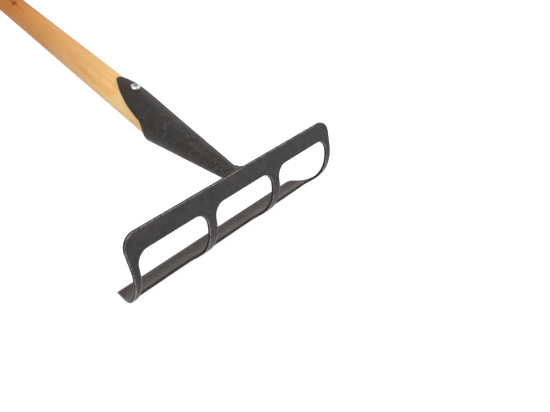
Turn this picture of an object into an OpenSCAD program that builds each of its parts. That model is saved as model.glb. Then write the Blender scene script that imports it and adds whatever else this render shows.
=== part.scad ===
// Hoe rake: a long-handled hoe whose head is one plate, cut with three windows and bent
// back into a flat blade, on a rolled and forged socket with a leaf-shaped lip.
// The tool lies at rest: cutting edge and handle butt on the ground, butt towards +Y.

/* [Head plate] */
// Length of the top bar, end to end
bar_len = 265; // [235:1:300]
// Height of the top bar above the windows
bar_h = 18.6; // [15:0.1:24]
// Thickness of the plate
plate_t = 3; // [2.5:0.1:4]
// Radius of the bar's two top corners
bar_corner_r = 13.4; // [6:0.1:14]
// Width of the two straps between the windows
strap_w = 9.8; // [7:0.1:14]
// Width of the end straps where they leave the bar
end_strap_w = 8.1; // [7:0.1:11]
// Radius of the windows' two upper corners
window_top_r = 12.3; // [4:0.1:16]
// Radius of the windows' two lower corners
window_foot_r = 11; // [4:0.2:16]
// Straight plate from the top edge down to the start of the bend
upright_h = 27.6; // [24:0.2:34]
// Outside radius of the bend, which turns the blade square to the bar
bend_r = 46.6; // [42:0.2:52]

/* [Blade] */
// Flat stretch from the end of the bend to the cutting edge
blade_flat = 12.9; // [9:0.1:20]
// Width of the blade along the plate, from the windows to the cutting edge
blade_w = 30.2; // [26:0.1:36]
// How far the end straps draw in at the foot of the windows
end_draw_in = 2.9; // [1:0.1:3.5]
// How far the cutting edge stops short of the bar's ends
edge_inset = 13.6; // [8:0.1:24]
// Width of the bevel along the cutting edge
bevel_w = 6; // [3:0.5:8]
// Thickness left at the cutting edge
edge_t = 0.8; // [0.5:0.1:1.5]

/* [Socket] */
// Angle between the handle and a line square to the bar
handle_angle = 31.5; // [27:0.5:36]
// How far the handle's axis meets the bar's face below the top edge
axis_drop = 25.9; // [23:0.1:29]
// From the bar's face along the handle's axis to where the socket's cone turns off it
cone_turn_at = 116; // [108:1:120]
// Angle between the cone's axis and the handle's axis
cone_turn = 6.76; // [6:0.02:7.4]
// Outside diameter of the cone where the two axes cross
cone_d = 36.2; // [35:0.1:38]
// Half of the cone's full angle
cone_half_angle = 6.23; // [5.8:0.01:6.5]
// Wall of the cone
socket_wall = 2; // [1.8:0.1:2.6]
// Gap between the socket's inside and the wood
wood_fit = 0.15; // [0.1:0.05:0.3]
// Width of the open seam on the underside
seam_w = 1.2; // [0.8:0.1:2]
// Length of the open seam
seam_len = 62; // [30:1:66]

/* [Lip] */
// From the bar's face along the handle's axis to the lip's tip
lip_end_at = 178.3; // [172:0.1:186]
// Length of the lip, from its tip to the mouth's rim on the underside
lip_len = 63.5; // [58:0.5:66]
// How far inside the cone the lip's outside starts
lip_root_in = 0.5; // [0.3:0.1:0.8]
// Radius that the lip's outside leans out to between its root and its nose
lip_lean_r = 19.6; // [19:0.1:20.4]
// How far the curve of the lip's outside keeps leaning past its root
lip_root_pull = 21; // [14:1:26]
// How far before the tip that curve turns in to the nose
lip_nose_pull = 12; // [8:1:16]
// Height of the lip's tip over the wood's axis
lip_tip_h = 17.4; // [16.6:0.1:18]
// Height over the wood's axis that the lip's edge leans to before the tip
lip_nose_h = 17.8; // [17:0.1:18.8]
// From the lip's tip back to the throat, where its edge turns down round the mouth
lip_throat_in = 50; // [46:0.5:54]
// Height of the lip's edge over the wood's axis at the throat
lip_throat_h = 6.5; // [4:0.5:9]

/* [Weld] */
// How far the weld climbs the socket's neck
weld_climb = 13; // [9:0.5:16]
// How wide the weld spreads round the neck on the bar
weld_spread = 6.5; // [4:0.5:8]
// Thickness of the weld's upper rim on the neck
weld_rim_t = 0.5; // [0.3:0.1:1]

/* [Screw] */
// From the bar's face along the handle's axis to the screw
screw_at = 154.5; // [150:0.5:160]
// How far round the lip the screw sits from its ridge
screw_turn = 4; // [0:1:20]
// Diameter of the screw's head
screw_head_d = 9.2; // [7.6:0.1:10]
// Height of the screw's head
screw_head_h = 4; // [3:0.1:4.4]
// Diameter of the screw's shank
screw_d = 4.5; // [3.5:0.1:5]
// Length of the screw below its head
screw_len = 18; // [14:0.5:22]
// How deep the screw's head is let into the lip
screw_sunk = 0.7; // [0.5:0.1:1.2]
// Width of the slots of the screw's cross recess
recess_w = 1.2; // [0.8:0.1:1.4]
// Length of the slots of the screw's cross recess
recess_span = 5; // [4:0.1:5.6]
// Depth of the screw's cross recess
recess_depth = 2; // [1.5:0.1:2.4]

/* [Handle] */
// Length of the handle, from its end in the socket to the butt
handle_len = 1500; // [1200:10:1700]
// Depth of the handle's tapered end past the point where the axes cross
plug_depth = 59; // [50:1:66]
// How far the wood's shoulder stands out round its tapered end
tenon_step = 0.7; // [0.6:0.1:1]
// Diameter of the wood at the socket's mouth
mouth_d = 32.2; // [31.9:0.1:32.5]
// From the mouth's rim on the underside to where the wood is fullest
shoulder_in = 8; // [4:1:12]
// Diameter of the handle at its waist
waist_d = 25; // [23:0.1:28]
// From the bar's face along the handle's axis to the waist
waist_at = 355; // [330:5:450]
// Diameter of the butt
butt_d = 32; // [30:0.5:36]
// How much the small flat on the butt's end takes off its dome
butt_flat = 0.1; // [0.05:0.05:0.5]
// From the butt's end to the start of the handle's swell
butt_swell_in = 520; // [400:10:620]
// From the butt's end to where the swell quickens
butt_flare_in = 234; // [150:2:300]
// Diameter of the handle where the swell quickens
butt_flare_d = 28.6; // [27:0.1:30]
// Diameter of the hanging hole
hang_hole_d = 12.5; // [9:0.5:14]
// From the butt's end to the middle of the hanging hole
hang_hole_in = 21.5; // [18:0.5:28]

/* [Hidden] */
$fn = 96;

window_count = 3;
steel = [0.19, 0.18, 0.18];
weld_steel = [0.25, 0.22, 0.21];
zinc = [0.78, 0.79, 0.8];
ash = [0.87, 0.63, 0.36];

// How far a cutting tool runs past what it cuts
past = 2;
// How far the wood's tapered end runs up into its shaft
plug_overlap = 3;
// Room round the screw's head and round its shank in the socket
screw_room = 0.2;
// Share of the screw's head that is a plain drum, below its dome
drum_share = 0.55;
// How close the search for the lip's radius comes along its curve
curve_step = 0.001;

// Plate, measured along its outer face from the top edge
bend_end_s = upright_h + bend_r * PI / 2;
edge_s = bend_end_s + blade_flat;
window_foot_s = edge_s - blade_w;
window_w = (bar_len - 2 * end_strap_w - (window_count - 1) * strap_w) / window_count;
window_pitch = window_w + strap_w;
edge_pt = [bend_r + blade_flat, -upright_h - bend_r];

// Socket and handle, measured along the handle's axis from the bar's face
cone_angle = handle_angle - cone_turn;
cone_r = cone_d / 2;
cone_slope = tan(cone_half_angle);
cone_pivot = axis_pt(cone_turn_at);
neck_len = (cone_pivot[0] - plate_t) / cos(cone_angle);
neck_r = cone_r - neck_len * cone_slope;
neck_z = cone_pivot[1] - neck_len * sin(cone_angle);
neck_reach = neck_r / (cos(cone_angle) - cone_slope * sin(cone_angle));
rim_at = lip_end_at - lip_len;
cone_mouth_len = max(rim_at - cone_turn_at, 0) + past;
lip_outline = [
    [cone_r - lip_root_in, rim_at - past],
    [lip_lean_r, rim_at + lip_root_pull],
    [lip_lean_r, lip_end_at - lip_nose_pull],
    [lip_tip_h, lip_end_at]
];
shoulder_r = cone_r - socket_wall - wood_fit;
butt_r = butt_d / 2;
handle_end_at = cone_turn_at - plug_depth + handle_len;
butt_ball_at = handle_end_at - butt_r + butt_flat;
screw_seat_r = lip_r_at(screw_at) - screw_sunk;

// Rest: the tool is tipped until the cutting edge and the butt touch the ground
butt_pt = axis_pt(butt_ball_at);
rest_span = butt_pt - edge_pt;
rest_tip = atan2(rest_span[1], rest_span[0]) - asin(butt_r / norm(rest_span));
ground_z = tipped(edge_pt)[1];
front_y = tipped(face_pt(upright_h + bend_r * rest_tip * PI / 180))[0];
back_y = tipped(butt_pt)[0] + butt_r;

// Turn of the plate at a distance s along it, 0 where it stands upright
function heading(s) =
    s < upright_h ? 0
    : s < bend_end_s ? (s - upright_h) / bend_r * 180 / PI
    : 90;

// Point [y, z] of the outer face at a distance s along it
function face_pt(s) =
    s < upright_h ? [0, -s]
    : s < bend_end_s ? [bend_r * (1 - cos(heading(s))), -upright_h - bend_r * sin(heading(s))]
    : edge_pt - [edge_s - s, 0];

// Point [y, z] on the handle's axis
function axis_pt(at) = [at * cos(handle_angle), at * sin(handle_angle) - axis_drop];

function tipped(p) = [
    p[0] * cos(rest_tip) + p[1] * sin(rest_tip),
    p[1] * cos(rest_tip) - p[0] * sin(rest_tip)
];

function bezier(p, u) =
    pow(1 - u, 3) * p[0] + 3 * u * pow(1 - u, 2) * p[1] + 3 * u * u * (1 - u) * p[2] + pow(u, 3) * p[3];

// Radius of the lip's outside at a distance along the handle's axis
function lip_r_at(at, from = 0, to = 1) =
    let (mid = (from + to) / 2, p = bezier(lip_outline, mid))
    to - from < curve_step ? p[0]
    : p[1] < at ? lip_r_at(at, mid, to)
    : lip_r_at(at, from, mid);

// From the tool's own frame, bar upright, to its place on the ground
module at_rest() {
    translate([0, -(front_y + back_y) / 2, -ground_z])
        rotate([-rest_tip, 0, 0])
            children();
}

// Z along the handle's axis towards the butt, -Y towards the lip's ridge
module on_handle(at) {
    p = axis_pt(at);
    translate([0, p[0], p[1]])
        rotate([handle_angle - 90, 0, 0])
            children();
}

// Z along the cone's axis towards the mouth, from the point where the axes cross
module on_cone() {
    translate([0, cone_pivot[0], cone_pivot[1]])
        rotate([cone_angle - 90, 0, 0])
            children();
}

// Z out of the lip at the screw's seat
module on_screw() {
    on_handle(screw_at)
        rotate([0, 0, screw_turn])
            rotate([90, 0, 0])
                translate([0, 0, screw_seat_r])
                    children();
}

// What rounding takes off a corner at the origin whose sides lie along +X and +Y
module corner_waste(r) {
    difference() {
        translate([-past, -past])
            square([r + past, r + past]);
        translate([r, r])
            circle(r);
    }
}

// Side view of all that lies within the plate's outer face, drawn in by a depth
module within_face(depth) {
    translate([depth, edge_pt[1] + depth])
        difference() {
            square([edge_pt[0], -edge_pt[1]]);
            corner_waste(bend_r - depth, $fn = 360);
        }
}

// Plate before its outline is cut: bent square, with the bevel of its cutting edge
module bent_plate() {
    bevel_drop = plate_t - edge_t;
    bevel_past = bevel_drop / bevel_w * past;
    rotate([90, 0, 90])
        linear_extrude(bar_len, center = true)
            difference() {
                within_face(0);
                within_face(plate_t);
                translate(edge_pt)
                    polygon([
                        [-bevel_w, plate_t],
                        [past, edge_t - bevel_past],
                        [past, plate_t + past],
                        [-bevel_w, plate_t + past]
                    ]);
            }
}

// Outline seen square to the bar: rounded top corners and ends that draw in
module front_outline() {
    half = bar_len / 2;
    waist = half - end_draw_in;
    foot_z = face_pt(window_foot_s)[1];
    difference() {
        polygon([
            [-half, past],
            [half, past],
            [half, -bar_corner_r],
            [waist, foot_z],
            [waist, edge_pt[1] - past],
            [-waist, edge_pt[1] - past],
            [-waist, foot_z],
            [-half, -bar_corner_r]
        ]);
        for (side = [0, 1])
            mirror([side, 0])
                translate([half, 0])
                    rotate(180)
                        corner_waste(bar_corner_r);
    }
}

// Outline seen from above: the blade's ends slant in to the cutting edge
module top_outline() {
    half = bar_len / 2;
    waist = half - end_draw_in;
    tip = half - edge_inset;
    slant_y = face_pt(window_foot_s - window_foot_r)[0];
    slant = (waist - tip) / (edge_pt[0] - slant_y);
    polygon([
        [-half, -past],
        [half, -past],
        [half, slant_y],
        [waist, slant_y],
        [tip - slant * past, edge_pt[0] + past],
        [slant * past - tip, edge_pt[0] + past],
        [-waist, slant_y],
        [-half, slant_y]
    ]);
}

// Tool that cuts one window through the bent plate, its four corners rounded
module window_cutter() {
    foot = face_pt(window_foot_s);
    turn = heading(window_foot_s);
    inward = [cos(turn), sin(turn)];
    depth = bend_r / 3;
    low = foot - past * inward;
    difference() {
        rotate([90, 0, 90])
            linear_extrude(window_w, center = true)
                polygon([
                    [-past, -bar_h],
                    [depth, -bar_h],
                    foot + depth * inward,
                    low,
                    [-past, low[1] + (low[0] + past) / tan(turn)]
                ]);
        for (side = [0, 1])
            mirror([side, 0, 0]) {
                translate([-window_w / 2, -2 * past, -bar_h])
                    rotate([-90, 0, 0])
                        linear_extrude(depth + 3 * past)
                            corner_waste(window_top_r);
                translate([window_w / 2, foot[0], foot[1]])
                    rotate([turn - 90, 0, 0])
                        translate([0, 0, -2 * past])
                            rotate([0, 0, 180])
                                linear_extrude(depth + 3 * past)
                                    corner_waste(window_foot_r);
            }
    }
}

module head_plate() {
    color(steel)
        at_rest()
            difference() {
                intersection() {
                    bent_plate();
                    translate([0, edge_pt[0] + past, 0])
                        rotate([90, 0, 0])
                            linear_extrude(edge_pt[0] + 2 * past)
                                front_outline();
                    translate([0, 0, edge_pt[1] - 2 * past])
                        linear_extrude(-edge_pt[1] + 3 * past)
                            top_outline();
                }
                for (i = [0 : window_count - 1])
                    translate([(i - (window_count - 1) / 2) * window_pitch, 0, 0])
                        window_cutter();
            }
}

// Wood inside the socket and the shaft behind it, grown by a fit all round
module handle_shaft(grow) {
    mouth_r = mouth_d / 2;
    waist_r = waist_d / 2;
    rotate_extrude() {
        polygon([
            [0, cone_turn_at - grow],
            [shoulder_r + grow, cone_turn_at - grow],
            [mouth_r + grow, rim_at + shoulder_in],
            [waist_r + grow, waist_at],
            [waist_r + grow, handle_end_at - butt_swell_in],
            [butt_flare_d / 2 + grow, handle_end_at - butt_flare_in],
            [butt_r + grow, butt_ball_at],
            [0, butt_ball_at]
        ]);
        intersection() {
            translate([0, butt_ball_at])
                circle(butt_r + grow);
            translate([0, butt_ball_at])
                square([2 * butt_r, butt_r - butt_flat]);
        }
    }
}

// Tapered end of the wood, down the cone from a little way up the shaft
module handle_plug(grow, extra_depth) {
    depth = plug_depth + extra_depth;
    top_r = shoulder_r - tenon_step + grow;
    translate([0, 0, -depth])
        cylinder(
            depth + plug_overlap,
            r1 = top_r - depth * cone_slope,
            r2 = top_r + plug_overlap * cone_slope
        );
}

// Cone and lip before the lip is cut out and the wood's room is bored
module socket_blank() {
    steps = 12;
    on_cone()
        translate([0, 0, -neck_len - neck_r])
            cylinder(
                neck_len + neck_r + cone_mouth_len,
                r1 = neck_r - neck_r * cone_slope,
                r2 = cone_r + cone_mouth_len * cone_slope
            );
    on_handle(0)
        rotate_extrude()
            polygon(concat(
                [[0, rim_at - past]],
                [for (i = [0 : steps]) bezier(lip_outline, i / steps)],
                [[0, lip_end_at]]
            ));
}

// Side view of what is cut away to leave the lip: Y is the height over the handle's axis
module lip_cutaway() {
    steps = 10;
    tip_blunt = 0.1;
    throat_lean = 0.56;
    throat_rise = 0.92;
    turn_down = 0.2;
    far = lip_end_at + past;
    tip = [lip_end_at, lip_tip_h - tip_blunt];
    throat = [lip_end_at - lip_throat_in, lip_throat_h];
    pull = [throat_lean * lip_throat_in, throat_rise * lip_throat_h];
    nose = [
        tip,
        [lip_end_at - lip_nose_pull, lip_nose_h],
        throat + pull,
        throat
    ];
    rim = [
        throat,
        throat - turn_down * pull,
        [rim_at + turn_down * (lip_len - lip_throat_in), -tip_blunt * lip_throat_h],
        [rim_at, -cone_r]
    ];
    polygon(concat(
        [[far, tip[1]]],
        [for (i = [0 : steps - 1]) bezier(nose, i / steps)],
        [for (i = [0 : steps]) bezier(rim, i / steps)],
        [[rim_at, -2 * cone_r], [far, -2 * cone_r]]
    ));
}

module socket() {
    color(steel)
        at_rest()
            difference() {
                socket_blank();
                on_handle(0)
                    handle_shaft(wood_fit);
                on_cone()
                    handle_plug(wood_fit, past);
                on_handle(0)
                    rotate([0, -90, 0])
                        linear_extrude(4 * cone_r, center = true)
                            mirror([0, 1])
                                lip_cutaway();
                on_cone()
                    translate([-seam_w / 2, 0, -seam_len])
                        cube([seam_w, 2 * cone_r, seam_len + 2 * cone_r]);
                on_screw() {
                    cylinder(2 * past, d = screw_head_d + 2 * screw_room);
                    translate([0, 0, -screw_len / 2])
                        cylinder(screw_len / 2 + past, d = screw_d + 2 * screw_room);
                }
                translate([-cone_d, plate_t - cone_d, -2 * cone_d])
                    cube([2 * cone_d, cone_d, 4 * cone_d]);
            }
}

// Bead that joins the neck to the back of the bar, no higher or lower than the bar
module neck_weld() {
    foot_z = -neck_len;
    climb_r = neck_r + weld_climb * cone_slope;
    rim_r = climb_r + weld_rim_t;
    spread_r = neck_r + weld_spread;
    hollow = [(neck_r + spread_r) / 2, weld_climb / 2];
    toe = [spread_r, weld_climb / 5];
    // The bead ends at the bar's edges, or goes round the neck where it is thicker than the bar
    low_z = min(-bar_h, neck_z - neck_reach - weld_rim_t);
    top_z = max(0, neck_z + neck_reach + weld_rim_t);
    color(weld_steel)
        at_rest()
            difference() {
                intersection() {
                    on_cone()
                        rotate_extrude()
                            polygon([
                                [0, foot_z + weld_climb],
                                [rim_r, foot_z + weld_climb],
                                [hollow[0], foot_z + hollow[1]],
                                [toe[0], foot_z + toe[1]],
                                [toe[0], foot_z - cone_r],
                                [0, foot_z - cone_r]
                            ]);
                    translate([-cone_d, plate_t, low_z])
                        cube([2 * cone_d, 2 * cone_d, top_z - low_z]);
                }
                on_cone()
                    translate([0, 0, foot_z - cone_r])
                        cylinder(
                            neck_len + cone_r,
                            r1 = neck_r - cone_r * cone_slope,
                            r2 = cone_r
                        );
            }
}

module lip_screw() {
    drum_h = drum_share * screw_head_h;
    dome_h = screw_head_h - drum_h;
    crown_r = (pow(screw_head_d / 2, 2) + pow(dome_h, 2)) / (2 * dome_h);
    color(zinc)
        at_rest()
            on_screw()
                difference() {
                    union() {
                        cylinder(drum_h, d = screw_head_d);
                        translate([0, 0, -screw_len])
                            cylinder(screw_len, d = screw_d);
                        intersection() {
                            cylinder(screw_head_h, d = screw_head_d);
                            translate([0, 0, screw_head_h - crown_r])
                                sphere(crown_r);
                        }
                    }
                    for (turn = [0, 90])
                        rotate([0, 0, turn])
                            translate([-recess_span / 2, -recess_w / 2, screw_head_h - recess_depth])
                                cube([recess_span, recess_w, recess_depth + past]);
                }
}

module handle() {
    color(ash)
        at_rest()
            difference() {
                union() {
                    on_handle(0)
                        handle_shaft(0);
                    on_cone()
                        handle_plug(0, 0);
                }
                on_handle(handle_end_at - hang_hole_in)
                    rotate([90, 0, 0])
                        cylinder(2 * butt_d, d = hang_hole_d, center = true);
                on_screw()
                    translate([0, 0, -screw_len - wood_fit])
                        cylinder(screw_len + wood_fit, d = screw_d + 2 * wood_fit);
            }
}

head_plate();
socket();
neck_weld();
lip_screw();
handle();
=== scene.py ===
import math

import bmesh
import bpy
from bpy.props import FloatProperty, FloatVectorProperty, IntProperty, PointerProperty
from bpy.types import Operator, Panel, PropertyGroup
from mathutils import Matrix, Vector, noise


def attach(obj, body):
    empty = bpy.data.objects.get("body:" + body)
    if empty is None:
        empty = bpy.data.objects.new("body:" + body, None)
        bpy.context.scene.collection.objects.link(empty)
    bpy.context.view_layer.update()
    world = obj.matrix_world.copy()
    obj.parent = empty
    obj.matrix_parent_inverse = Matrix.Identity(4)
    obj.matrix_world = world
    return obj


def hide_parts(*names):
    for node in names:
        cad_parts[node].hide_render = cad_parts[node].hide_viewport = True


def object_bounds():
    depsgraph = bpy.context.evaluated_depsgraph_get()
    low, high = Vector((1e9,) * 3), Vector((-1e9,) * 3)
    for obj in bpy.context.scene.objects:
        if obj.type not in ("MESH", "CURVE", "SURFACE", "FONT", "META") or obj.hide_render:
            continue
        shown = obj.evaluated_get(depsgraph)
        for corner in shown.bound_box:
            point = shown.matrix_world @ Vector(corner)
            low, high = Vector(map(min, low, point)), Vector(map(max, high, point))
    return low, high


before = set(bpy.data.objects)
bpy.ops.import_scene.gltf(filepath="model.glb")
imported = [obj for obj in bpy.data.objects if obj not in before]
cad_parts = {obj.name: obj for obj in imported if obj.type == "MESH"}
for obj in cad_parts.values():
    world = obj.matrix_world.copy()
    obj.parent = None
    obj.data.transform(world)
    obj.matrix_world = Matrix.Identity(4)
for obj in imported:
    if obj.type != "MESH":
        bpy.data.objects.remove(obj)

bl_info = {
    "name": "Hoe Rake Maker",
    "version": (1, 0, 0),
    "blender": (4, 5, 0),
    "location": "3D View > Sidebar > Hoe Rake",
    "description": "Dresses the packed hoe rake: plate, socket, weld, screw, handle and stage",
    "category": "Object",
}

MM = 0.001
CAD_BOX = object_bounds()
ACROSS = Vector((1, 0, 0))

# How the tool lies at rest: the bar leans back, and the handle and the cone dip towards the butt
BAR_LEAN = math.radians(33.6259)
BAR_TOP = Vector((0, -759.308, 94.733)) * MM
AXIS_DROP = 25.9 * MM
HANDLE_DIP = BAR_LEAN - math.radians(31.5)
CONE_DIP = HANDLE_DIP + math.radians(6.76)
CONE_TURN_AT = 116 * MM
CONE_R = 18.1 * MM
PLATE_T = 3 * MM

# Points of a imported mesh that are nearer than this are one
SAME_POINT = 0.002 * MM
# Edges of the screw and the handle that turn by more degrees than this are rounded
SHARP = 35


def steel_colour(grey, brown):
    return (grey * (1 + brown), grey, grey * (1 - brown))


def shaded(colour, shares):
    """The colour with each channel times its share, or all of them times one share."""
    shares = shares if isinstance(shares, tuple) else (shares,) * 3
    return tuple(c * share for c, share in zip(colour, shares))


def within(value, low=0, high=1):
    return min(max(value, low), high)


class Axis:
    """A line along the tool, with a point on it, its direction and the side of the lip's ridge."""

    def __init__(self, origin, dip):
        self.origin = origin
        self.along = Vector((0, math.cos(dip), -math.sin(dip)))
        self.up = Vector((0, math.sin(dip), math.cos(dip)))

    def point(self, at, radius=0.0, turn=0.0):
        side = math.sin(turn) * ACROSS + math.cos(turn) * self.up
        return self.origin + at * self.along + radius * side

    def place(self, point):
        """Distance along, radius and height over the axis of a point."""
        rel = point - self.origin
        at = rel.dot(self.along)
        out = rel - at * self.along
        return at, out.length, out.dot(self.up)


def from_bar(x, y, z):
    """A point from the bar's own frame: Y square to the bar's face, Z up the bar."""
    return BAR_TOP + Matrix.Rotation(-BAR_LEAN, 3, "X") @ Vector((x, y, z))


def to_bar(point):
    return Matrix.Rotation(BAR_LEAN, 3, "X") @ (point - BAR_TOP)


HANDLE = Axis(from_bar(0, 0, -AXIS_DROP), HANDLE_DIP)
CONE = Axis(HANDLE.point(CONE_TURN_AT), CONE_DIP)


def interp(x, points):
    """Straight lines through points sorted by their first number."""
    if x <= points[0][0]:
        return points[0][1]
    for (x0, y0), (x1, y1) in zip(points, points[1:]):
        if x <= x1:
            return y0 + (y1 - y0) * (x - x0) / (x1 - x0)
    return points[-1][1]


def bezier(p, steps):
    """Points on the curve that four points (x, y) pull along."""
    made = []
    for i in range(steps + 1):
        u = i / steps
        weights = ((1 - u) ** 3, 3 * u * (1 - u) ** 2, 3 * u * u * (1 - u), u ** 3)
        made.append(tuple(sum(w * q[n] for w, q in zip(weights, p)) for n in (0, 1)))
    return made


# Sizes and colours


class HOERAKE_PG_plate(PropertyGroup):
    edge_round: FloatProperty(
        name="Edge rounding", description="Radius worn on the plate's cut edges",
        default=0.45 * MM, min=0.1 * MM, max=1 * MM, unit="LENGTH")
    border: FloatProperty(
        name="Worn border", description="Width of the worn band along the outer face's edges",
        default=1.1 * MM, unit="LENGTH")
    ridge: FloatProperty(
        name="Bevel ridge", description="Width of the rubbed line along the bevel",
        default=0.7 * MM, unit="LENGTH")
    bend_step: FloatProperty(
        name="Bend step", description="Length of the bend between two lines of its mesh",
        default=2 * MM, min=0.5 * MM, max=8 * MM, unit="LENGTH")
    bar_length: FloatProperty(
        name="Bar length", description="Length of the top bar", default=265 * MM, unit="LENGTH")
    bar_height: FloatProperty(
        name="Bar height", description="Height of the bar above the windows",
        default=18.6 * MM, unit="LENGTH")
    thickness: FloatProperty(
        name="Thickness", description="Thickness of the plate", default=PLATE_T, unit="LENGTH")
    corner: FloatProperty(
        name="Bar corner", description="Radius of the bar's top corners",
        default=13.4 * MM, unit="LENGTH")
    upright: FloatProperty(
        name="Upright", description="Straight plate above the bend", default=27.6 * MM, unit="LENGTH")
    bend_radius: FloatProperty(
        name="Bend radius", description="Outside radius of the bend", default=46.6 * MM, unit="LENGTH")
    blade_flat: FloatProperty(
        name="Blade flat", description="Flat plate from the bend to the cutting edge",
        default=12.9 * MM, unit="LENGTH")
    blade_width: FloatProperty(
        name="Blade width", description="Plate between the windows and the cutting edge",
        default=30.2 * MM, unit="LENGTH")
    window_width: FloatProperty(
        name="Window width", description="Width of each window", default=76.4 * MM, unit="LENGTH")
    strap_width: FloatProperty(
        name="Strap width", description="Width of the straps between the windows",
        default=9.8 * MM, unit="LENGTH")
    window_top_corner: FloatProperty(
        name="Window top corner", description="Radius of the windows' upper corners",
        default=12.3 * MM, unit="LENGTH")
    window_foot_corner: FloatProperty(
        name="Window foot corner", description="Radius of the windows' lower corners",
        default=11 * MM, unit="LENGTH")
    draw_in: FloatProperty(
        name="Strap draw-in", description="How far the end straps draw in at their foot",
        default=2.9 * MM, unit="LENGTH")
    edge_inset: FloatProperty(
        name="Edge inset", description="How far the cutting edge stops short of the bar's ends",
        default=13.6 * MM, unit="LENGTH")
    bevel_width: FloatProperty(
        name="Bevel width", description="Width of the cutting edge's bevel",
        default=6 * MM, unit="LENGTH")
    edge_thickness: FloatProperty(
        name="Edge thickness", description="Steel left at the cutting edge",
        default=0.8 * MM, unit="LENGTH")
    scale_colour: FloatVectorProperty(
        name="Mill scale", description="Colour of the dark scale on the plate",
        subtype="COLOR", size=3, default=(0.052, 0.048, 0.049))
    worn_colour: FloatVectorProperty(
        name="Worn steel", description="Colour of the steel where the scale has rubbed off",
        subtype="COLOR", size=3, default=steel_colour(0.46, 0.03))
    rust_colour: FloatVectorProperty(
        name="Rust bloom", description="Colour of the faint rust on the blade and edges",
        subtype="COLOR", size=3, default=(0.032, 0.0225, 0.0205))


class HOERAKE_PG_socket(PropertyGroup):
    around: IntProperty(
        name="Faces around", description="Faces round the socket", default=144, min=48, max=240)
    neck_rows: IntProperty(
        name="Neck rows", description="Rows of faces along the solid neck", default=36, min=8, max=80)
    cup_rows: IntProperty(
        name="Cup rows", description="Rows of faces along the hollow part", default=80, min=24, max=160)
    mouth_radius: FloatProperty(
        name="Mouth radius", description="Outside radius of the cone where it turns to the handle",
        default=CONE_R, unit="LENGTH")
    half_angle: FloatProperty(
        name="Cone half angle", description="Half of the cone's full angle",
        default=math.radians(6.23), unit="ROTATION")
    bore_depth: FloatProperty(
        name="Bore depth", description="Depth of the bore down the cone",
        default=61 * MM, unit="LENGTH")
    seam: FloatProperty(
        name="Seam", description="Width of the open seam underneath", default=1.2 * MM, unit="LENGTH")
    edge_round: FloatProperty(
        name="Edge rounding", description="Radius of the lip's edge", default=0.5 * MM, unit="LENGTH")
    hammer_depth: FloatProperty(
        name="Hammer marks", description="Depth of the shallow marks left by forging",
        default=0.16 * MM, unit="LENGTH")
    dimple: FloatProperty(
        name="Dimple", description="How deep the lip is drawn in round the screw",
        default=0.4 * MM, unit="LENGTH")
    scale_colour: FloatVectorProperty(
        name="Forge scale", description="Colour of the scale left by forging",
        subtype="COLOR", size=3, default=steel_colour(0.018, 0.03))
    light_colour: FloatVectorProperty(
        name="Pale scale", description="Colour where the scale is thin",
        subtype="COLOR", size=3, default=steel_colour(0.068, 0.05))
    brown_colour: FloatVectorProperty(
        name="Brown scale", description="Colour where heat has browned the scale",
        subtype="COLOR", size=3, default=(0.036, 0.017, 0.013))
    lip_at: FloatProperty(
        name="Lip start", description="Distance from the bar's face at which the lip starts to brown",
        default=128 * MM, unit="LENGTH")
    neck_end: FloatProperty(
        name="Neck end", description="Distance from the bar's face up to which the neck is speckled",
        default=85 * MM, unit="LENGTH")


class HOERAKE_PG_weld(PropertyGroup):
    voxel: FloatProperty(
        name="Grain of the mesh", description="Size of the weld's mesh cells",
        default=0.35 * MM, unit="LENGTH")
    ripple: FloatProperty(
        name="Ripple", description="Height of the ripples on the bead", default=0.22 * MM, unit="LENGTH")
    ripples: IntProperty(
        name="Ripples", description="Ripples round the neck", default=26, min=6, max=60)
    toe_width: FloatProperty(
        name="Toe", description="Width of the dark line where the weld meets the neck",
        default=0.7 * MM, unit="LENGTH")
    colour: FloatVectorProperty(
        name="Weld", description="Colour of the weld", subtype="COLOR", size=3,
        default=steel_colour(0.044, 0.02))
    heat_colour: FloatVectorProperty(
        name="Heat tint", description="Brown tint left by the heat", subtype="COLOR", size=3,
        default=(0.05, 0.03, 0.02))


class HOERAKE_PG_screw(PropertyGroup):
    edge_round: FloatProperty(
        name="Edge rounding", description="Radius on the screw's edges", default=0.14 * MM, unit="LENGTH")
    colour: FloatVectorProperty(
        name="Zinc", description="Colour of the zinc plating", subtype="COLOR", size=3,
        default=(0.56, 0.57, 0.585))
    # Painted shade: the colour below darkens the walls and floor of the cross recess
    recess_shade_colour: FloatVectorProperty(
        name="Recess shade", description="Colour of the painted shade in the recess", subtype="COLOR", size=3,
        default=(0.11, 0.105, 0.1))
    recess_reach: FloatProperty(
        name="Recess reach", description="Half of the span of the cross recess",
        default=2.6 * MM, unit="LENGTH")


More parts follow.
